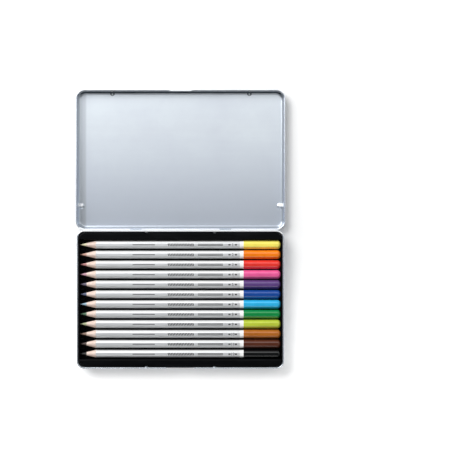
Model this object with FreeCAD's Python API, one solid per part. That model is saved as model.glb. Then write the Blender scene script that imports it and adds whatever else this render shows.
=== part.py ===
import FreeCAD
import Part
import math
import os

from FreeCAD import Vector

os.makedirs("parts", exist_ok=True)

# Pencils
pencil_length = 175.0
pencil_flats = 6.8
pencil_sides = 6
pencil_edge_radius = 1.9
pencil_gap = 1.39
lead_diameter = 3.0
lead_glue_gap = 0.05
point_half_angle = 13.2
point_radius = 0.3
dip_length = 32.5
dip_coat = 0.15
dip_seat = 0.03
tail_round = 3.0
pencil_colours = ("yellow", "orange", "red", "pink", "violet", "dark_blue",
                  "light_blue", "green", "lime", "ochre", "brown", "black")

# Tray
tray_sheet = 0.5
tray_clearance = 0.6
tray_corner_radius = 6.2
tray_ledge_width = 6.27
tray_ledge_rise = 0.35
tray_fold_radius = 0.3
tray_platform = 3.15
tray_end_room = 0.4
tray_side_room = 0.4
tray_draft_angle = 4.0
groove_play = 0.2
ridge_drop = 1.3
tip_well_length = 15.0
tip_well_floor = 1.5
tip_rib_length = 3.4
tip_rib_width = 1.0
notch_radius = 2.2
notch_depth = 1.2
notch_spacing = 59.4

# Tin
tin_sheet = 0.25
base_corner_radius = 5.4
bead_diameter = 1.1
bead_wrap_angle = 270.0
base_bend = 0.75
rim_rise = 0.6
lid_clearance = 0.2
lid_headroom = 2.2
lid_bend = 3.0
lid_rim_diameter = 1.2
lid_rim_wrap_angle = 250.0
press_drop = 2.76
snap_spacing = 120.4
snap_diameter = 3.3
snap_depth = 0.85
pip_setback = 20.6
pip_inset = 2.9
pip_diameter = 5.8
pip_depth = 1.05
locator_diameter = 3.6
locator_depth = 1.1
thumb_width = 17.0
thumb_ramp = 2.4
thumb_depth = 0.7
thumb_relief = 24.0

# Hinge
hinge_spacing = 78.0
loop_width = 9.0
loop_wrap_angle = 285.0
loop_side_gap = 0.3
loop_swing_gap = 0.35
pin_diameter = 0.66
pin_hold = 6.0
pin_running_gap = 0.05

# Length by which a cutting shape runs past the piece it cuts
overrun = 1.0

# Distance below which two points of an outline are one
same_point = 0.00001

# Pencil outline
half_flats = pencil_flats / 2
half_side_angle = 180 / pencil_sides
corner_reach = 1 / math.cos(math.radians(half_side_angle))
corner_trim = pencil_edge_radius * corner_reach - pencil_edge_radius
half_corners = half_flats * corner_reach - corner_trim
dip_build = dip_coat + dip_seat
pencil_pitch = 2 * half_corners + pencil_gap
pencil_count = len(pencil_colours)
field_half_depth = (pencil_count - 1) * pencil_pitch / 2 + half_corners + dip_build
tip_x = -pencil_length / 2
tail_x = pencil_length / 2
slat_tail_x = tail_x - dip_build
point_tangent = math.tan(math.radians(point_half_angle))
apex_x = tip_x + point_radius - point_radius / math.sin(math.radians(point_half_angle))
lead_radius = lead_diameter / 2
pencil_rows = [((pencil_count - 1) / 2 - i) * pencil_pitch for i in range(pencil_count)]

# Heights, from the underside of the tin
groove_z = tin_sheet + tray_platform
axis_z = groove_z + dip_build + half_flats
ridge_z = axis_z - ridge_drop
tip_floor_z = tin_sheet + tip_well_floor
ledge_z = axis_z + half_flats + dip_build + tray_ledge_rise
base_height = ledge_z + rim_rise
closed_height = base_height + lid_headroom + tin_sheet
hinge_z = closed_height / 2
press_height = base_height - press_drop

# Plan sizes
draft_run = (ledge_z - ridge_z) * math.tan(math.radians(tray_draft_angle))
well_half_length = pencil_length / 2 + tray_end_room
well_half_foot = field_half_depth + tray_side_room
well_half_mouth = well_half_foot + draft_run
tray_length = 2 * (well_half_length + tray_sheet)
tray_depth = 2 * (well_half_mouth + tray_ledge_width)
base_length = tray_length + 2 * tray_clearance
base_depth = tray_depth + 2 * tray_clearance
bead_radius = bead_diameter / 2
lid_grow = bead_diameter + lid_clearance
lid_length = base_length + 2 * lid_grow
lid_depth = base_depth + 2 * lid_grow
lid_radius = base_corner_radius + lid_grow
lid_rim_radius = lid_rim_diameter / 2
hinge_y = lid_depth / 2 + lid_rim_radius
loop_bore = pin_diameter / 2 + pin_running_gap
loop_radius = loop_bore + tin_sheet


def polar(centre, radius, angle):
    turn = math.radians(angle)
    return (centre[0] + radius * math.cos(turn), centre[1] + radius * math.sin(turn))


def arc(centre, radius, start, end):
    return [polar(centre, radius, a) for a in (start, (start + end) / 2, end)]


def outline_wire(outline, place):
    # Each entry is two points for a line, or three for an arc
    edges = []
    for points in outline:
        ends = [place(*p) for p in points]
        if len(ends) == 2:
            edges.append(Part.LineSegment(*ends).toShape())
        else:
            edges.append(Part.Arc(*ends).toShape())
    return Part.Wire(edges)


def chain(*runs):
    # Joins runs of points with straight lines, round to the first again
    outline = []
    for run, following in zip(runs, runs[1:] + runs[:1]):
        if len(run) > 1:
            outline.append(run)
        if math.dist(run[-1], following[0]) > same_point:
            outline.append([run[-1], following[0]])
    return outline


def plate(length, depth, radius, low, high):
    x, y = length / 2 - radius, depth / 2 - radius
    runs = [arc((x, y), radius, 0, 90), arc((-x, y), radius, 90, 180),
            arc((-x, -y), radius, 180, 270), arc((x, -y), radius, 270, 360)]
    wire = outline_wire(chain(*runs), lambda a, b: Vector(a, b, low))
    return Part.Face(wire).extrude(Vector(0, 0, high - low))


def swept_ring(length, depth, radius, sides):
    # Walls round a rounded rectangle; sides gives each wall its stretches of outline
    pieces = []
    for quarter, stretches in enumerate(sides):
        across, along = (length, depth) if quarter % 2 == 0 else (depth, length)
        x, half_run = across / 2, along / 2 - radius
        made = []
        for start, end, first, last in stretches(half_run):
            wires = [outline_wire(o, lambda n, z: Vector(x + n, y, z))
                     for o, y in ((first, start), (last, end))]
            if first is last:
                made.append(Part.Face(wires[0]).extrude(Vector(0, end - start, 0)))
            else:
                made.append(Part.makeLoft(wires, True, True))
        end_outline = stretches(half_run)[-1][3]
        corner = outline_wire(end_outline, lambda n, z: Vector(x + n, half_run, z))
        made.append(Part.Face(corner).revolve(Vector(x - radius, half_run, 0), Vector(0, 0, 1), 90))
        for piece in made:
            piece.rotate(Vector(0, 0, 0), Vector(0, 0, 1), 90 * quarter)
        pieces += made
    return pieces


def join(pieces):
    return pieces[0].multiFuse(pieces[1:]).removeSplitter()


def block(low, high):
    size = [b - a for a, b in zip(low, high)]
    return Part.makeBox(*size, Vector(*low))


def pressed(shape, wall_point, inward, diameter, depth):
    # A round dimple pushed through a sheet wall, from the face at wall_point
    sphere_radius = ((diameter / 2) ** 2 + depth ** 2) / (2 * depth)
    centre = wall_point + inward * (depth - sphere_radius)
    reach = Vector(sphere_radius, sphere_radius, sphere_radius)
    room = Part.makeBox(*(2 * reach), centre - reach)
    room.translate(inward * (wall_point - centre).dot(inward) + inward * sphere_radius)
    room.translate(inward * -tin_sheet)
    bulge = Part.makeSphere(sphere_radius, centre).common(room)
    return shape.fuse(bulge).cut(Part.makeSphere(sphere_radius - tin_sheet, centre))


def base_outline(beaded):
    bend = (tin_sheet - base_bend, base_bend)
    bead = (bead_radius, base_height - bead_radius)
    outer_bend = arc(bend, base_bend, -90, 0)
    inner_bend = arc(bend, base_bend - tin_sheet, 0, -90)
    if not beaded:
        top = [(tin_sheet, base_height), (0, base_height)]
        return chain(outer_bend, top, inner_bend)
    inside = arc(bead, bead_radius - tin_sheet, 180, 180 - bead_wrap_angle)
    outside = arc(bead, bead_radius, 180 - bead_wrap_angle, 180)
    return chain(outer_bend, inside, outside, inner_bend)


def lid_outline(lean):
    bend = (tin_sheet - lid_bend, closed_height - lid_bend)
    roll = (lid_rim_radius - lean, hinge_z)
    outer_bend = arc(bend, lid_bend, 90, 0)
    inside = arc(roll, lid_rim_radius - tin_sheet, 180, 180 + lid_rim_wrap_angle)
    outside = arc(roll, lid_rim_radius, 180 + lid_rim_wrap_angle, 180)
    inner_bend = arc(bend, lid_bend - tin_sheet, 0, 90)
    return chain(outer_bend, inside, outside, inner_bend)


def make_base():
    beaded, bare = base_outline(True), base_outline(False)

    def plain(run):
        return [(-run, run, beaded, beaded)]

    def relieved(run):
        half = thumb_relief / 2
        return [(-run, -half, beaded, beaded), (-half, half, bare, bare), (half, run, beaded, beaded)]

    sides = (plain, plain, plain, relieved)
    inset = 2 * (tin_sheet - base_bend)
    pieces = swept_ring(base_length, base_depth, base_corner_radius, sides)
    pieces.append(plate(base_length + inset, base_depth + inset, base_corner_radius + inset / 2, 0, tin_sheet))
    base = join(pieces)
    for x in (-notch_spacing / 2, notch_spacing / 2):
        for side in (-1, 1):
            wall_point = Vector(x, side * base_depth / 2, press_height)
            base = pressed(base, wall_point, Vector(0, -side, 0), locator_diameter, locator_depth)
    axis = (hinge_y, hinge_z)
    wall = base_depth / 2 + tin_sheet / 2
    bottom = hinge_z - loop_radius
    outline = chain(arc(axis, loop_radius, -90, loop_wrap_angle - 90),
                    arc(axis, loop_bore, loop_wrap_angle - 90, -90),
                    [(wall, bottom + tin_sheet), (wall, bottom)])
    for x in (-hinge_spacing / 2, hinge_spacing / 2):
        wire = outline_wire(outline, lambda y, z: Vector(x - loop_width / 2, y, z))
        base = base.fuse(Part.Face(wire).extrude(Vector(loop_width, 0, 0)))
    return base.removeSplitter()


def make_lid():
    upright, dented = lid_outline(0), lid_outline(thumb_depth)

    def plain(run):
        return [(-run, run, upright, upright)]

    def thumbed(run):
        near = thumb_width / 2
        far = near + thumb_ramp
        return [(-run, -far, upright, upright), (-far, -near, upright, dented),
                (-near, near, dented, dented), (near, far, dented, upright),
                (far, run, upright, upright)]

    inset = 2 * (tin_sheet - lid_bend)
    pieces = swept_ring(lid_length, lid_depth, lid_radius, (plain, plain, plain, thumbed))
    pieces.append(plate(lid_length + inset, lid_depth + inset, lid_radius + inset / 2,
                        closed_height - tin_sheet, closed_height))
    lid = join(pieces)
    for side in (-1, 1):
        snap = Vector(side * snap_spacing / 2, -lid_depth / 2, press_height)
        lid = pressed(lid, snap, Vector(0, 1, 0), snap_diameter, snap_depth)
        pip = Vector(side * (lid_length / 2 - pip_inset), hinge_y - pip_setback, closed_height - tin_sheet)
        lid = pressed(lid, pip, Vector(0, 0, -1), pip_diameter, pip_depth)
    reach = loop_radius + loop_swing_gap
    half_slot = loop_width / 2 + loop_side_gap
    for x in (-hinge_spacing / 2, hinge_spacing / 2):
        lid = lid.cut(block((x - half_slot, lid_depth / 2 - overrun, hinge_z - lid_rim_diameter),
                            (x + half_slot, hinge_y + lid_rim_diameter, hinge_z + reach)))
    lid = lid.removeSplitter()
    lid.rotate(Vector(0, hinge_y, hinge_z), Vector(1, 0, 0), 180)
    return lid


def make_pin(x):
    length = loop_width + 2 * (loop_side_gap + pin_hold)
    return Part.makeCylinder(pin_diameter / 2, length, Vector(x - length / 2, hinge_y, hinge_z), Vector(1, 0, 0))


def tray_hollow(grow):
    # Well, grooves and tip well, widened by grow on every side
    tilt = math.radians(tray_draft_angle)
    fold = tray_sheet + tray_fold_radius
    foot = well_half_foot + grow / math.cos(tilt) - grow * math.tan(tilt)
    floor = ridge_z - grow
    fold_y = well_half_mouth - fold * math.tan(tilt) + fold / math.cos(tilt)
    top = ledge_z + overrun
    right = arc((fold_y, ledge_z - fold), fold - grow, 180 - tray_draft_angle, 90)
    left = [(-y, z) for y, z in reversed(right)]
    well = chain([(-foot, floor), (foot, floor)], right, [(fold_y, top), (-fold_y, top)], left)
    start = -well_half_length - grow
    end = well_half_length + grow
    wire = outline_wire(well, lambda y, z: Vector(start, y, z))
    hollows = [Part.Face(wire).extrude(Vector(end - start, 0, 0))]

    slope = math.radians(2 * half_side_angle)
    rise = math.tan(slope)
    bottom = groove_z - grow
    half_bottom = (half_flats + dip_build) / rise - grow / rise
    half_bottom += (groove_play + grow) / math.sin(slope)
    half_top = half_bottom + (axis_z - bottom) / rise
    tip_end = tip_x + tip_well_length
    for row in pencil_rows:
        groove = chain([(row - half_bottom, bottom), (row + half_bottom, bottom)],
                       [(row + half_top, axis_z), (row - half_top, axis_z)])
        wire = outline_wire(groove, lambda y, z: Vector(tip_end - overrun, y, z))
        hollows.append(Part.Face(wire).extrude(Vector(end - tip_end + overrun, 0, 0)))
    hollows.append(block((start, -foot, tip_floor_z - grow), (tip_end + grow, foot, axis_z)))
    return hollows


def top_rounded(solid, top, radius):
    edges = [e for e in solid.Edges if e.BoundBox.ZMin > top - same_point]
    return solid.makeFillet(radius, edges)


def make_tray():
    outer = plate(tray_length, tray_depth, tray_corner_radius, tin_sheet, ledge_z)
    outer = top_rounded(outer, ledge_z, tray_sheet + tray_fold_radius)
    under = ledge_z - tray_sheet
    inner = plate(tray_length - 2 * tray_sheet, tray_depth - 2 * tray_sheet,
                  tray_corner_radius - tray_sheet, tin_sheet - overrun, under)
    inner = top_rounded(inner, under, tray_fold_radius)
    for x in (-notch_spacing / 2, notch_spacing / 2):
        for side in (-1, 1):
            centre = Vector(x, side * (tray_depth / 2 + notch_radius - notch_depth), -overrun)
            height = ledge_z + 2 * overrun
            outer = outer.cut(Part.makeCylinder(notch_radius, height, centre))
            inner = inner.cut(Part.makeCylinder(notch_radius + tray_sheet, height, centre))
    tray = outer.cut(tray_hollow(0)).cut(inner.cut(tray_hollow(tray_sheet)))
    ribs = []
    for row in pencil_rows[1:]:
        low = row + (pencil_pitch - tip_rib_width) / 2
        ribs.append(block((-well_half_length - tray_sheet / 2, low, tip_floor_z - tray_sheet / 2),
                          (-well_half_length + tip_rib_length, low + tip_rib_width, axis_z)))
    return tray.multiFuse(ribs).removeSplitter()


def hexagon(grow, low_x, high_x):
    # Rounded hexagon bar with a flat on top, corners to the sides
    radius = pencil_edge_radius + grow
    reach = (half_flats + grow - radius) * corner_reach
    turns = [2 * half_side_angle * side for side in range(pencil_sides)]
    runs = [arc(polar((0, 0), reach, turn), radius, turn - half_side_angle, turn + half_side_angle)
            for turn in turns]
    wire = outline_wire(chain(*runs), lambda y, z: Vector(low_x, y, z))
    return Part.Face(wire).extrude(Vector(high_x - low_x, 0, 0))


def turned(runs):
    wire = outline_wire(chain(*runs), lambda x, r: Vector(x, 0, r))
    return Part.Face(wire).revolve(Vector(0, 0, 0), Vector(1, 0, 0), 360)


def tail_bar(grow, low_x):
    # Hexagon bar ending in a rounded tail
    end = slat_tail_x + grow
    radius = half_corners + grow
    roll = tail_round + grow
    dome = turned(([(low_x, 0), (low_x, radius)], arc((end - roll, radius - roll), roll, 90, 0), [(end, 0)]))
    return hexagon(grow, low_x, end).common(dome)


def make_pencil():
    cone_end = apex_x + (half_corners + overrun) / point_tangent
    sleeve_radius = half_corners + overrun
    waste = turned(([(apex_x, 0), (apex_x, sleeve_radius)], [(cone_end, sleeve_radius)]))
    bore = lead_radius + lead_glue_gap
    hole = Part.makeCylinder(bore, pencil_length + 2 * overrun, Vector(tip_x - overrun, 0, 0), Vector(1, 0, 0))
    casing = tail_bar(0, tip_x).cut(waste).cut(hole)
    reach = 2 * half_corners
    upper = casing.common(block((tip_x, -reach, 0), (tail_x, reach, reach)))
    lower = casing.common(block((tip_x, -reach, -reach), (tail_x, reach, 0)))
    centre = (tip_x + point_radius, 0)
    nose = arc(centre, point_radius, 180, 90 + point_half_angle)
    lead = turned((nose, [(apex_x + lead_radius / point_tangent, lead_radius)],
                   [(slat_tail_x, lead_radius)], [(slat_tail_x, 0)])).common(tail_bar(0, tip_x - overrun))
    dip_x = tail_x - dip_length
    dip = tail_bar(dip_build, dip_x).cut(tail_bar(dip_seat, dip_x - overrun))
    return {"upper_slat": upper, "lower_slat": lower, "lead": lead, "dip_cap": dip}


pieces = {
    "tin_base": make_base(),
    "tin_lid": make_lid(),
    "pencil_tray": make_tray(),
    "hinge_pin_left": make_pin(-hinge_spacing / 2),
    "hinge_pin_right": make_pin(hinge_spacing / 2),
}
pencil = make_pencil()
for colour, row in zip(pencil_colours, pencil_rows):
    for piece, shape in pencil.items():
        pieces[colour + "_" + piece] = shape.translated(Vector(0, row, axis_z))

for name, shape in pieces.items():
    shape.exportStep("parts/" + name + ".step")
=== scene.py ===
import bpy
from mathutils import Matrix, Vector


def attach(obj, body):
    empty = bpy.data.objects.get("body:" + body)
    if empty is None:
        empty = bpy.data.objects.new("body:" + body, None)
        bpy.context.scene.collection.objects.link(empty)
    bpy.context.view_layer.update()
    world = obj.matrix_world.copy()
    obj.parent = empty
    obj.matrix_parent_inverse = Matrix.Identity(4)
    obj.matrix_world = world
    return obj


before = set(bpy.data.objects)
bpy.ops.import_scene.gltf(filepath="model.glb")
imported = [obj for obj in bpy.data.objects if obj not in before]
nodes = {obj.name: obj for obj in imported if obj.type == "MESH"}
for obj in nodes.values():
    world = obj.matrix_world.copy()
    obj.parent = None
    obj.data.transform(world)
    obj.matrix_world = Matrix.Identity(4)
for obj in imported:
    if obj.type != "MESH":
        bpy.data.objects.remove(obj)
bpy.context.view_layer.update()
scene = bpy.context.scene
scene.view_settings.view_transform = "Standard"

# sizes and places are in metres
pencilRow = {
    "colours": ["yellow", "orange", "red", "pink", "violet", "dark_blue",
                "light_blue", "green", "lime", "ochre", "brown", "black"],
    "pitch": 0.0086541,      # centre to centre
    "axisHeight": 0.00698,
    "halfFlats": 0.0034,     # centre to flat
}


def linear(rgb):  # 0-255 screen colour to shader colour
    parts = [v / 255 for v in rgb]
    return [v / 12.92 if v <= 0.04045 else ((v + 0.055) / 1.055) ** 2.4 for v in parts] + [1.0]


def freshMaterial(name):
    material = bpy.data.materials.new(name)
    material.use_nodes = True
    return material, material.node_tree, material.node_tree.nodes["Principled BSDF"]


def feed(tree, node, sockets):  # sockets are linked, plain values are set
    for key, value in sockets.items():
        if isinstance(value, bpy.types.NodeSocket):
            tree.links.new(value, node.inputs[key])
        else:
            node.inputs[key].default_value = value


def step(tree, kind, settings=None, sockets=None):  # one node, with its settings and what feeds it
    made = tree.nodes.new("ShaderNode" + kind)
    for key, value in (settings or {}).items():
        setattr(made, key, value)
    feed(tree, made, sockets or {})
    return made


def objectPlace(tree):
    return step(tree, "TexCoord").outputs["Object"]


def axes(tree, vector):
    return step(tree, "SeparateXYZ", {}, {0: vector}).outputs


def sums(tree, operation, first, second=0.0, third=0.0):
    made = step(tree, "Math", {"operation": operation}, {0: first, 1: second, 2: third})
    return made.outputs[0]


def product(tree, *factors):
    total = factors[0]
    for factor in factors[1:]:
        total = sums(tree, "MULTIPLY", total, factor)
    return total


def largest(tree, *masks):
    most = masks[0]
    for mask in masks[1:]:
        most = sums(tree, "MAXIMUM", most, mask)
    return most


def weigh(tree, first, second, share):  # this share of the first, the rest of the second
    return sums(tree, "MULTIPLY_ADD", first, share, product(tree, second, 1.0 - share))


def awayFrom(tree, value, centre):  # distance to either side of a centre line
    return sums(tree, "ABSOLUTE", sums(tree, "SUBTRACT", value, centre))


def pointDistance(tree, aside, ahead):
    return sums(tree, "SQRT", sums(tree, "MULTIPLY_ADD", aside, aside, product(tree, ahead, ahead)))


def blend(tree, amount, low, high):
    made = step(tree, "Mix", {"data_type": "RGBA"}, {0: amount, 6: low, 7: high})
    return made.outputs[2]


def spread(tree, value, fromLow, fromHigh, toLow, toHigh):
    made = step(tree, "MapRange", {}, {0: value, 1: fromLow, 2: fromHigh, 3: toLow, 4: toHigh})
    return made.outputs[0]


def fade(tree, value, start, end, most=1.0):  # 0 at the start, most at the end
    return spread(tree, value, start, end, 0.0, most)


def stretched(tree, source, scale):
    return step(tree, "Mapping", {}, {"Vector": source, "Scale": scale}).outputs[0]


def grain(tree, source, scale=1.0, detail=3.0, roughness=0.55):
    sockets = {"Vector": source, "Scale": scale, "Detail": detail, "Roughness": roughness}
    return step(tree, "TexNoise", {}, sockets).outputs[0]


def relief(tree, height, distance, strength, under=None):
    sockets = {"Height": height, "Distance": distance, "Strength": strength}
    if under is not None:
        sockets["Normal"] = under
    return step(tree, "Bump", {}, sockets).outputs[0]


def dress(names, material):
    for name in names:
        for slot in nodes[name].material_slots:
            slot.material = material


# a grain is scale, detail, roughness; a bump is height, strength; a fade is start, end, most
tinFinish = {
    "bright": linear((218, 226, 233)),
    "dull": linear((210, 217, 226)),
    "rolledStretch": (9, 170, 170),          # rolling lines along the length
    "rolled": (1.0, 2.0),
    "handled": (22.0, 4.0, 0.6),             # dull patches from handling
    "rolledShare": 0.2,
    "patches": (0.35, 0.65),
    "roughLow": 0.285,                       # glossier than this, mirrored lamps break into specks
    "roughHigh": 0.32,
    "metal": 0.74,                           # satin lacquer over the plate takes the rest
    "mattMetal": 0.05,
    "flow": (7.0, 1.0),                      # sheet isn't dead flat
    "flowBump": (0.0004, 0.03),
    "baseRim": 0.0104,
    "lidRim": 0.0068,
    "rimFade": (-0.0003, 0.0002),            # rolled edge is burnished
    "rimPolish": 0.08,
    "paintedHighlight": linear((247, 249, 251)),       # painted highlight: pale matt edge along the hinge
    "paintedHighlightFade": (-0.0010, -0.0002),
    "hingeRear": (0.0630, 0.0624),
    "hingeFront": (0.0570, 0.0576),
}

# tones painted by place on the lid, to follow the light and dark of the photo
lidTones = {
    "cool": linear((211, 220, 235)),         # bluer towards the hinge
    "coolFade": (0.15, 0.085, 0.6),
    "wallShadow": linear((197, 204, 212)),       # painted shadow of the left wall: darker strip along the left end
    "wallShadowInner": (-0.0826, -0.0843),
    "wallShadowOuter": (-0.0895, -0.0880),
    "bend": linear((150, 157, 166)),         # painted shade on the bends along the hinge and the right end
    "bendRise": (0.000302, 0.00035),         # just above the panel
    "hingeBend": (0.0665, 0.0655),
    "hingeBendFoot": (0.0016, 0.0006, 0.3, 1.0),
    "rightBend": (0.0865, 0.0875),
    "rightBendFoot": (0.0034, 0.0022, 0.6),
    "frontWall": (0.1790, 0.1800),
    "deep": linear((72, 78, 86)),            # painted shade at the foot of the front wall
    "deepLow": (0.00036, 0.00058),
    "deepHigh": (0.0022, 0.0014),
    "frontEdge": (0.0018, 0.0026, 0.7),      # painted light on the upper part of the front wall
    "snapShade": linear((82, 88, 96)),           # painted shade: dark ring round each snap dimple
    "snap": (0.0602, 0.1804),
    "snapShadeFade": (0.0024, 0.0017),
    "glintDrop": 0.0006,                     # bright spot a little below the ring's middle
    "glintFade": (0.0010, 0.0005),
    "pip": (0.0881, 0.0824),                 # painted highlight on the crown of the pressed mark at each end
    "pipLength": (0.0022, 0.0016),
    "pipWidth": (0.0017, 0.0011),
    "pipRise": (0.0004, 0.0006),
    "outside": linear((150, 156, 163)),      # plain grey lacquer on the outer face
    "outsideFade": (0.0002, 0.0001),
    "outsideRough": 0.2,
    "borderReach": 0.007,                    # panel lifts a little towards its front and hinge walls
    "borderRise": (0.00025, 1.0),
    "borderHinge": 0.0640,
    "borderFront": 0.1812,
    "borderHingeShare": 0.4,
}


def lidPaint(tree, sides, tone):
    across, along, up = sides
    outward = sums(tree, "ABSOLUTE", across)
    tone = blend(tree, fade(tree, along, *lidTones["coolFade"]), tone, lidTones["cool"])

    # painted shadow of the left wall: a darker strip along the left end
    wallShadowInner = fade(tree, across, *lidTones["wallShadowInner"])
    wallShadowOuter = fade(tree, across, *lidTones["wallShadowOuter"])
    tone = blend(tree, product(tree, wallShadowInner, wallShadowOuter), tone, lidTones["wallShadow"])

    # painted shade on the bends along the hinge and the right end
    hingeFoot = spread(tree, up, *lidTones["hingeBendFoot"])
    hingeBend = product(tree, fade(tree, along, *lidTones["hingeBend"]), hingeFoot)
    rightFoot = fade(tree, up, *lidTones["rightBendFoot"])
    rightBend = product(tree, fade(tree, across, *lidTones["rightBend"]), rightFoot)
    raised = fade(tree, up, *lidTones["bendRise"])
    bends = product(tree, raised, largest(tree, hingeBend, rightBend))
    tone = blend(tree, bends, tone, lidTones["bend"])

    # painted shade at the foot of the front wall, painted light on its upper part
    frontWall = fade(tree, along, *lidTones["frontWall"])
    deepLow = fade(tree, up, *lidTones["deepLow"])
    deepHigh = fade(tree, up, *lidTones["deepHigh"])
    tone = blend(tree, product(tree, frontWall, deepLow, deepHigh), tone, lidTones["deep"])
    frontEdge = product(tree, frontWall, fade(tree, up, *lidTones["frontEdge"]))

    # painted shade: dark ring round each snap dimple, with a painted glint below its middle
    aside = sums(tree, "SUBTRACT", outward, lidTones["snap"][0])
    ahead = sums(tree, "SUBTRACT", along, lidTones["snap"][1])
    snapShade = fade(tree, pointDistance(tree, aside, ahead), *lidTones["snapShadeFade"])
    tone = blend(tree, snapShade, tone, lidTones["snapShade"])
    lower = sums(tree, "ADD", ahead, lidTones["glintDrop"])
    glint = fade(tree, pointDistance(tree, aside, lower), *lidTones["glintFade"])
    tone = blend(tree, glint, tone, tinFinish["bright"])

    # painted highlight on the crown of each pressed mark
    pipLength = fade(tree, awayFrom(tree, outward, lidTones["pip"][0]), *lidTones["pipLength"])
    pipWidth = fade(tree, awayFrom(tree, along, lidTones["pip"][1]), *lidTones["pipWidth"])
    pips = product(tree, fade(tree, up, *lidTones["pipRise"]), pipLength, pipWidth)

    outside = fade(tree, up, *lidTones["outsideFade"])
    tone = blend(tree, outside, tone, lidTones["outside"])
    return tone, largest(tree, pips, frontEdge), outside


def borderLift(tree, along):
    hinge, front, reach = (lidTones[key] for key in ("borderHinge", "borderFront", "borderReach"))
    nearHinge = fade(tree, along, hinge + reach, hinge, lidTones["borderHingeShare"])
    nearFront = fade(tree, along, front - reach, front)
    near = sums(tree, "ADD", nearHinge, nearFront)
    return product(tree, near, near)


def tinplate(name, rimHeight, isLid=False):
    material, tree, shader = freshMaterial(name)
    place = objectPlace(tree)
    sides = axes(tree, place)
    fromRim = sums(tree, "SUBTRACT", sides[2], rimHeight)
    rolled = grain(tree, stretched(tree, place, tinFinish["rolledStretch"]), *tinFinish["rolled"])
    handled = grain(tree, place, *tinFinish["handled"])
    mixed = weigh(tree, rolled, handled, tinFinish["rolledShare"])
    patches = fade(tree, mixed, *tinFinish["patches"])
    tone = blend(tree, patches, tinFinish["dull"], tinFinish["bright"])
    rough = spread(tree, patches, 0.0, 1.0, tinFinish["roughHigh"], tinFinish["roughLow"])
    rim = fade(tree, fromRim, *tinFinish["rimFade"], tinFinish["rimPolish"])
    rough = sums(tree, "SUBTRACT", rough, rim)
    bump = relief(tree, grain(tree, place, *tinFinish["flow"]), *tinFinish["flowBump"])
    # painted highlight: pale matt strip along the hinge edge, near the rim
    hingeRear = fade(tree, sides[1], *tinFinish["hingeRear"])
    hingeFront = fade(tree, sides[1], *tinFinish["hingeFront"])
    paintedHighlight = product(tree, hingeRear, hingeFront, fade(tree, fromRim, *tinFinish["paintedHighlightFade"]))
    matt = paintedHighlight
    if isLid:
        tone, pale, outside = lidPaint(tree, sides, tone)
        paintedHighlight = largest(tree, paintedHighlight, pale)
        matt = largest(tree, paintedHighlight, outside)
        rough = sums(tree, "MULTIPLY_ADD", outside, lidTones["outsideRough"], rough)
        bump = relief(tree, borderLift(tree, sides[1]), *lidTones["borderRise"], bump)
    tone = blend(tree, paintedHighlight, tone, tinFinish["paintedHighlight"])
    metal = spread(tree, matt, 0.0, 1.0, tinFinish["metal"], tinFinish["mattMetal"])
    feed(tree, shader, {"Base Color": tone, "Metallic": metal, "Roughness": rough, "Normal": bump})
    return material


dress(["tin_base"], tinplate("tinplateBase", tinFinish["baseRim"]))
dress(["tin_lid"], tinplate("tinplateLid", tinFinish["lidRim"], True))
print("tin finished")

wireFinish = {
    "bright": linear((196, 198, 200)),
    "dull": linear((168, 170, 172)),
    "drawnStretch": (40, 4000, 4000),        # drawing lines along the wire
    "drawnBump": (0.00002, 0.3),
    "rough": 0.3,
}


def hingeWire():
    material, tree, shader = freshMaterial("hingeWire")
    drawn = grain(tree, stretched(tree, objectPlace(tree), wireFinish["drawnStretch"]))
    tone = blend(tree, drawn, wireFinish["dull"], wireFinish["bright"])
    bump = relief(tree, drawn, *wireFinish["drawnBump"])
    feed(tree, shader, {"Base Color": tone, "Metallic": 1.0, "Normal": bump,
                        "Roughness": wireFinish["rough"]})
    return material


dress(["hinge_pin_left", "hinge_pin_right"], hingeWire())
print("hinge wires finished")

trayFinish = {
    "black": linear((7, 8, 10)),
    "worn": linear((15, 16, 19)),
    "scuffStretch": (30, 180, 90),
    "scuffs": (1.0, 5.0, 0.65),
    "wornFade": (0.52, 0.72),
    "rough": (0.3, 0.7, 0.28, 0.4),
    "shine": 0.08,
    "peel": (260.0, 2.0),
    "peelBump": (0.00008, 0.25),
    "pebble": (2600.0, 2.0),                 # pebbled skin of the formed sheet
    "pebbleBump": (0.00002, 0.5),
}


def trayPlastic():
    material, tree, shader = freshMaterial("trayPlastic")
    place = objectPlace(tree)
    scuffs = grain(tree, stretched(tree, place, trayFinish["scuffStretch"]), *trayFinish["scuffs"])
    tone = blend(tree, fade(tree, scuffs, *trayFinish["wornFade"]), trayFinish["black"], trayFinish["worn"])
    rough = spread(tree, scuffs, *trayFinish["rough"])
    bump = relief(tree, grain(tree, place, *trayFinish["peel"]), *trayFinish["peelBump"])
    bump = relief(tree, grain(tree, place, *trayFinish["pebble"]), *trayFinish["pebbleBump"], bump)
    feed(tree, shader, {"Base Color": tone, "Roughness": rough, "Normal": bump,
                        "Specular IOR Level": trayFinish["shine"]})
    return material


dress(["pencil_tray"], trayPlastic())
print("tray finished")

barrelFinish = {
    "silver": linear((224, 226, 228)),
    "silverDeep": linear((219, 221, 223)),
    "mottleStretch": (40, 300, 300),
    "mottle": (1.0, 3.0),
    "mottleFade": (0.3, 0.7),
    "rough": (0.3, 0.7, 0.42, 0.47),
    "flake": (5200.0, 2.0, 0.7),
    "flakeBump": (0.000003, 0.1),
    "flakeMetal": 0.6,
    "coat": 0.2,
    "coatRough": 0.25,
    "ring": linear((246, 246, 244)),
    "ringEnds": (0.0517, 0.0556),
    "rearFlatLight": (0.35, 0.7, 0.55),           # flats towards the hinge are painted paler, as in the photo
    "edgeShade": linear((84, 84, 86)),            # and painted shade along both edges
    "edgeShadeFade": (0.0030, 0.0036),
}

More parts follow.
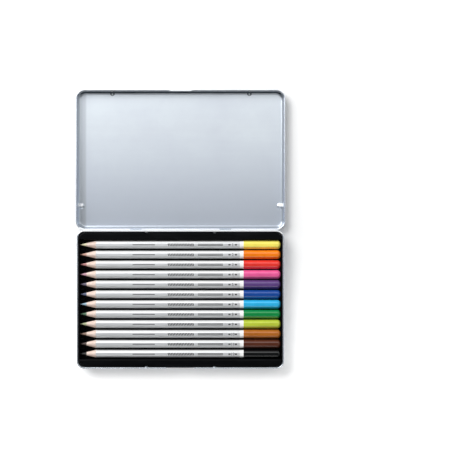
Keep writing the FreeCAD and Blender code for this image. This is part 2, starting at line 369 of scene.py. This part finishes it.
barrelPrint = {
    "bold": linear((30, 31, 34)),
    "boldCover": 0.94,
    "faint": linear((62, 64, 67)),
    "faintCover": 0.85,
    "topFlat": 0.97,                         # only the flat that looks up is printed
    "soft": 0.00004,                         # blur at the edges of the print
    "hatch": (-0.0110, 0.0117),              # bold band of slanted strokes
    "hatchHalf": 0.0011,
    "strokePitch": 0.00135,
    "strokeFill": 0.62,
    "strokeSlant": 0.4,
    "rules": (0.0152, 0.0370),               # pair of thin lines
    "rulesAside": (0.00022, 0.0008),
    "hairline": (-0.0416, -0.0223),          # faint line
    "hairlineHalf": 0.0004,
    "dashes": (0.0019, 0.0037),              # short dash on each side of the number
    "dashHalf": 0.0006,
}

coneWood = {
    "pale": linear((231, 213, 203)),
    "dark": linear((206, 181, 167)),
    "facing": -0.1,                          # faces that look further to the point are cut wood
    "fibreStretch": (90, 1900, 1900),        # grain runs along the slat
    "fibre": (1.0, 5.0, 0.6),
    "ringStretch": (25, 420, 420),
    "rings": (1.0, 2.0),
    "fibreShare": 0.6,
    "toneFade": (0.36, 0.64),
    "addedRough": 0.42,
    "cutTurns": 14000.0,                     # marks of the sharpening knife, radians a metre
    "cutShare": 0.15,
    "bump": (0.00006, 0.6),
}

numberPrint = {
    "height": 0.0024,
    "textSize": 1.4,                         # text size for each unit of digit height
    "curveSteps": 6,
    "centre": 0.0455,
    "lift": 0.000012,
    "thickness": 0.00001,
    "weld": 0.000001,
    "ink": linear((22, 23, 26)),
    "worn": linear((92, 94, 97)),
    "wear": (1800.0, 3.0, 0.7),
    "wornFade": (0.35, 0.7),
    "rough": (0.3, 0.7, 0.35, 0.5),
}


def within(tree, value, limit):  # 1 below the limit, 0 above
    soft = barrelPrint["soft"]
    return spread(tree, value, limit - soft, limit + soft, 1.0, 0.0)


def between(tree, value, low, high):  # 1 inside the band, 0 outside
    soft = barrelPrint["soft"]
    return product(tree, fade(tree, value, low - soft, low + soft), within(tree, value, high))


def printedMarks(tree, along, offset):  # bold and faint marks, from the place along and across a pencil
    aside = sums(tree, "ABSOLUTE", offset)
    slant = sums(tree, "MULTIPLY_ADD", offset, barrelPrint["strokeSlant"], along)
    turns = sums(tree, "FRACT", sums(tree, "DIVIDE", slant, barrelPrint["strokePitch"]))
    strokes = sums(tree, "LESS_THAN", turns, barrelPrint["strokeFill"])
    hatchBand = between(tree, along, *barrelPrint["hatch"])
    hatch = product(tree, hatchBand, strokes, within(tree, aside, barrelPrint["hatchHalf"]))
    rulesBand = between(tree, along, *barrelPrint["rules"])
    rules = product(tree, rulesBand, between(tree, aside, *barrelPrint["rulesAside"]))
    dashBand = between(tree, awayFrom(tree, along, numberPrint["centre"]), *barrelPrint["dashes"])
    dashes = product(tree, dashBand, within(tree, aside, barrelPrint["dashHalf"]))
    hairlineBand = between(tree, along, *barrelPrint["hairline"])
    hairline = product(tree, hairlineBand, within(tree, aside, barrelPrint["hairlineHalf"]))
    return largest(tree, hatch, rules, dashes), hairline


def barrelLacquer():
    material, tree, shader = freshMaterial("barrelLacquer")
    source = step(tree, "TexCoord").outputs
    place = source["Object"]
    sides = axes(tree, place)
    facing = axes(tree, source["Normal"])
    turns = sums(tree, "FRACT", sums(tree, "DIVIDE", sides[1], pencilRow["pitch"]))
    offset = product(tree, sums(tree, "SUBTRACT", turns, 0.5), pencilRow["pitch"])  # from the pencil's axis
    cone = sums(tree, "LESS_THAN", facing[0], coneWood["facing"])

    mottle = grain(tree, stretched(tree, place, barrelFinish["mottleStretch"]), *barrelFinish["mottle"])
    clouded = fade(tree, mottle, *barrelFinish["mottleFade"])
    tone = blend(tree, clouded, barrelFinish["silverDeep"], barrelFinish["silver"])
    ring = between(tree, sides[0], *barrelFinish["ringEnds"])
    tone = blend(tree, ring, tone, barrelFinish["ring"])
    # painted light: paler flats on the side towards the hinge
    rearFlatLight = fade(tree, facing[1], *barrelFinish["rearFlatLight"])
    tone = blend(tree, rearFlatLight, tone, barrelFinish["ring"])
    # painted shade along both edges of each pencil
    edgeShade = fade(tree, sums(tree, "ABSOLUTE", offset), *barrelFinish["edgeShadeFade"])
    tone = blend(tree, edgeShade, tone, barrelFinish["edgeShade"])

    onTop = sums(tree, "GREATER_THAN", facing[2], barrelPrint["topFlat"])
    bold, faint = (product(tree, mark, onTop) for mark in printedMarks(tree, sides[0], offset))
    tone = blend(tree, product(tree, bold, barrelPrint["boldCover"]), tone, barrelPrint["bold"])
    tone = blend(tree, product(tree, faint, barrelPrint["faintCover"]), tone, barrelPrint["faint"])

    fibre = grain(tree, stretched(tree, place, coneWood["fibreStretch"]), *coneWood["fibre"])
    rings = grain(tree, stretched(tree, place, coneWood["ringStretch"]), *coneWood["rings"])
    figure = fade(tree, weigh(tree, fibre, rings, coneWood["fibreShare"]), *coneWood["toneFade"])
    tone = blend(tree, cone, tone, blend(tree, figure, coneWood["dark"], coneWood["pale"]))

    rough = spread(tree, mottle, *barrelFinish["rough"])
    rough = sums(tree, "MULTIPLY_ADD", cone, coneWood["addedRough"], rough)
    covered = largest(tree, cone, ring, bold, faint)  # no flake in wood, ring or ink
    bare = sums(tree, "SUBTRACT", 1.0, covered)
    metal = product(tree, bare, sums(tree, "SUBTRACT", 1.0, rearFlatLight), barrelFinish["flakeMetal"])
    cut = sums(tree, "SINE", product(tree, sides[0], coneWood["cutTurns"]))
    cutWood = sums(tree, "MULTIPLY_ADD", cut, coneWood["cutShare"], fibre)
    bump = relief(tree, product(tree, cutWood, cone), *coneWood["bump"])
    bump = relief(tree, grain(tree, place, *barrelFinish["flake"]), *barrelFinish["flakeBump"], bump)
    feed(tree, shader, {"Base Color": tone, "Metallic": metal, "Roughness": rough, "Normal": bump,
                        "Coat Weight": barrelFinish["coat"], "Coat Roughness": barrelFinish["coatRough"]})
    return material


barrel = barrelLacquer()
dress([colour + part for colour in pencilRow["colours"] for part in ("_upper_slat", "_lower_slat")], barrel)
print("barrels finished")

pigments = {
    "yellow": (255, 238, 104), "orange": (252, 130, 14), "red": (236, 56, 46),
    "pink": (236, 94, 156), "violet": (94, 66, 128), "dark_blue": (22, 74, 156),
    "light_blue": (46, 182, 234), "green": (10, 140, 68), "lime": (192, 208, 62),
    "ochre": (180, 104, 32), "brown": (88, 42, 26), "black": (9, 10, 12),
}

dipFinish = {
    "deepShare": 0.86,
    "cloud": (160.0, 3.0),
    "cloudFade": (0.3, 0.7),
    "rough": (0.3, 0.7, 0.14, 0.22),
    "sag": (420.0, 1.0),                     # slight sag of the dipped coat
    "sagBump": (0.00006, 0.18),
    "coat": 0.8,
    "coatRough": 0.1,
}

leadFinish = {
    "colourShare": 0.36,                     # dry pigment is duller than wet lacquer
    "deepShare": 0.85,
    "dust": 0.05,
    "speck": (2400.0, 3.0, 0.7),
    "speckFade": (0.35, 0.65),
    "rough": (0.3, 0.7, 0.5, 0.68),
    "turnedStretch": (5000, 300, 300),       # rings left by the sharpener
    "turned": (1.0, 2.0),
    "turnedBump": (0.00004, 0.5),
}


def dipLacquer(colour):
    material, tree, shader = freshMaterial("dipLacquer_" + colour)
    place = objectPlace(tree)
    pigment = linear(pigments[colour])
    deep = [v * dipFinish["deepShare"] for v in pigment[:3]] + [1.0]
    cloud = grain(tree, place, *dipFinish["cloud"])
    tone = blend(tree, fade(tree, cloud, *dipFinish["cloudFade"]), deep, pigment)
    rough = spread(tree, cloud, *dipFinish["rough"])
    bump = relief(tree, grain(tree, place, *dipFinish["sag"]), *dipFinish["sagBump"])
    feed(tree, shader, {"Base Color": tone, "Roughness": rough, "Normal": bump,
                        "Coat Weight": dipFinish["coat"], "Coat Roughness": dipFinish["coatRough"]})
    return material


def leadPigment(colour):
    material, tree, shader = freshMaterial("leadPigment_" + colour)
    place = objectPlace(tree)
    share = leadFinish["colourShare"]
    wet = linear(pigments[colour])[:3]
    grey = sum(wet) / 3
    dry = [share * v + (1.0 - share) * grey for v in wet]
    deep = [leadFinish["deepShare"] * v for v in dry] + [1.0]
    dusty = [min(1.0, v + leadFinish["dust"]) for v in dry] + [1.0]
    speck = grain(tree, place, *leadFinish["speck"])
    tone = blend(tree, fade(tree, speck, *leadFinish["speckFade"]), deep, dusty)
    rough = spread(tree, speck, *leadFinish["rough"])
    turned = grain(tree, stretched(tree, place, leadFinish["turnedStretch"]), *leadFinish["turned"])
    bump = relief(tree, turned, *leadFinish["turnedBump"])
    feed(tree, shader, {"Base Color": tone, "Roughness": rough, "Normal": bump})
    return material


for colour in pencilRow["colours"]:
    dress([colour + "_dip_cap"], dipLacquer(colour))
    dress([colour + "_lead"], leadPigment(colour))
print("leads and dipped ends finished")


def printInk():
    material, tree, shader = freshMaterial("printInk")
    wear = grain(tree, objectPlace(tree), *numberPrint["wear"])
    tone = blend(tree, fade(tree, wear, *numberPrint["wornFade"]), numberPrint["ink"], numberPrint["worn"])
    feed(tree, shader, {"Base Color": tone, "Roughness": spread(tree, wear, *numberPrint["rough"])})
    return material


ink = printInk()
for index, colour in enumerate(pencilRow["colours"]):
    bpy.ops.object.select_all(action="DESELECT")
    row = (len(pencilRow["colours"]) - 1) / 2 - index
    top = pencilRow["axisHeight"] + pencilRow["halfFlats"] + numberPrint["lift"]
    bpy.ops.object.text_add(location=(numberPrint["centre"], row * pencilRow["pitch"], top))
    text = bpy.context.object.data
    text.body = str(index + 1)
    text.size = numberPrint["height"] * numberPrint["textSize"]
    text.align_x = "CENTER"
    text.align_y = "CENTER"
    text.extrude = numberPrint["thickness"]
    text.resolution_u = numberPrint["curveSteps"]
    bpy.ops.object.convert(target="MESH")
    bpy.ops.object.transform_apply(location=True, rotation=True, scale=True)
    bpy.ops.object.mode_set(mode="EDIT")
    bpy.ops.mesh.select_all(action="SELECT")
    bpy.ops.mesh.remove_doubles(threshold=numberPrint["weld"])
    bpy.ops.mesh.normals_make_consistent(inside=False)
    bpy.ops.object.mode_set(mode="OBJECT")
    number = bpy.context.object
    number.name = colour + "_number"
    number.data.materials.clear()
    number.data.materials.append(ink)
    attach(number, colour + "_pencil")
print("numbers printed")

paperStage = {
    "tone": linear((250, 250, 250)),
    "width": 6.0,
    "drop": 0.00004,                         # just under the tin
    "glow": (1.0, 1.0, 1.0, 1.0),
    "glowFront": (0.055, -0.07, 0.34),       # painted light: the paper glows on its own towards the front
    "glowSide": (0.098, 0.15, 0.16),         # and off to the side
}

bpy.ops.object.select_all(action="DESELECT")
bpy.ops.mesh.primitive_plane_add(size=paperStage["width"], location=(0, 0, -paperStage["drop"]))
floor = bpy.context.object
floor.name = "paperFloor"
paper, tree, shader = freshMaterial("paperFloor")
tree.nodes.remove(shader)
ray = step(tree, "LightPath").outputs
seen = largest(tree, ray["Is Camera Ray"], ray["Is Glossy Ray"], ray["Is Transmission Ray"])
sides = axes(tree, objectPlace(tree))
glowFront = fade(tree, sides[1], *paperStage["glowFront"])
glowSide = fade(tree, sides[0], *paperStage["glowSide"])
lit = product(tree, seen, sums(tree, "ADD", glowFront, glowSide))
glow = step(tree, "Emission", {}, {"Color": paperStage["glow"], "Strength": lit})
matte = step(tree, "BsdfDiffuse", {}, {"Color": paperStage["tone"]})
both = step(tree, "AddShader", {}, {0: glow.outputs[0], 1: matte.outputs[0]})
tree.links.new(both.outputs[0], tree.nodes["Material Output"].inputs[0])
paper.cycles.emission_sampling = "NONE"      # the glow is only seen, it lights nothing
floor.data.materials.append(paper)

lamps = {
    "overheadCard": {"place": (0.0, 0.49, 0.8), "aim": (0.0, 0.49, 0.0),
                     "size": (1.3, 0.7), "power": 3.1},
    "leaningSoftbox": {"place": (-0.78, 0.9, 0.9), "aim": (0.0, 0.06, 0.0),
                       "size": (1.1, 0.9), "power": 22.0},
    "sideFill": {"place": (1.0, 0.25, 0.7), "aim": (0.0, 0.06, 0.0),
                 "size": (0.9, 0.7), "power": 0.4},
    "frontFill": {"place": (0.1, -0.7, 0.7), "aim": (0.0, 0.06, 0.0),
                  "size": (0.8, 0.3), "power": 1.3},
}
for name, lamp in lamps.items():
    data = bpy.data.lights.new(name, "AREA")
    data.shape = "RECTANGLE"
    data.size, data.size_y = lamp["size"]
    data.energy = lamp["power"]
    light = bpy.data.objects.new(name, data)
    scene.collection.objects.link(light)
    light.location = lamp["place"]
    towards = Vector(lamp["aim"]) - Vector(lamp["place"])
    light.rotation_euler = towards.to_track_quat("-Z", "Y").to_euler()

sky = {
    "tint": (0.97, 0.99, 1.0, 1.0),
    "frontToBack": (-0.3, 0.5, 0.02, 0.85),  # dark in front, bright behind
    "right": (0.0, 0.9, 0.15),
    "zenith": (0.2, 0.95),
    "above": 0.06,
}
world = bpy.data.worlds.new("studioSky")
scene.world = world
world.use_nodes = True
tree = world.node_tree
heading = axes(tree, step(tree, "TexCoord").outputs["Generated"])
around = spread(tree, heading[1], *sky["frontToBack"])
around = sums(tree, "ADD", around, fade(tree, heading[0], *sky["right"]))
zenith = fade(tree, heading[2], *sky["zenith"])
level = step(tree, "Mix", {"data_type": "FLOAT"}, {0: zenith, 2: around, 3: sky["above"]}).outputs[0]
feed(tree, tree.nodes["Background"], {"Strength": level, "Color": sky["tint"]})

topView = {
    "over": (0.0388, 0.0648),
    "focusHeight": 0.007,
    "distance": 0.9,
    "frameWidth": 0.3929,
    "sensor": 36.0,                          # millimetres
    "clipEnd": 20.0,
}
lens = bpy.data.cameras.new("topView")
camera = bpy.data.objects.new("topView", lens)
scene.collection.objects.link(camera)
camera.location = (*topView["over"], topView["focusHeight"] + topView["distance"])
lens.sensor_width = topView["sensor"]
lens.lens = topView["sensor"] * topView["distance"] / topView["frameWidth"]
lens.clip_end = topView["clipEnd"]
scene.camera = camera
print("studio set")
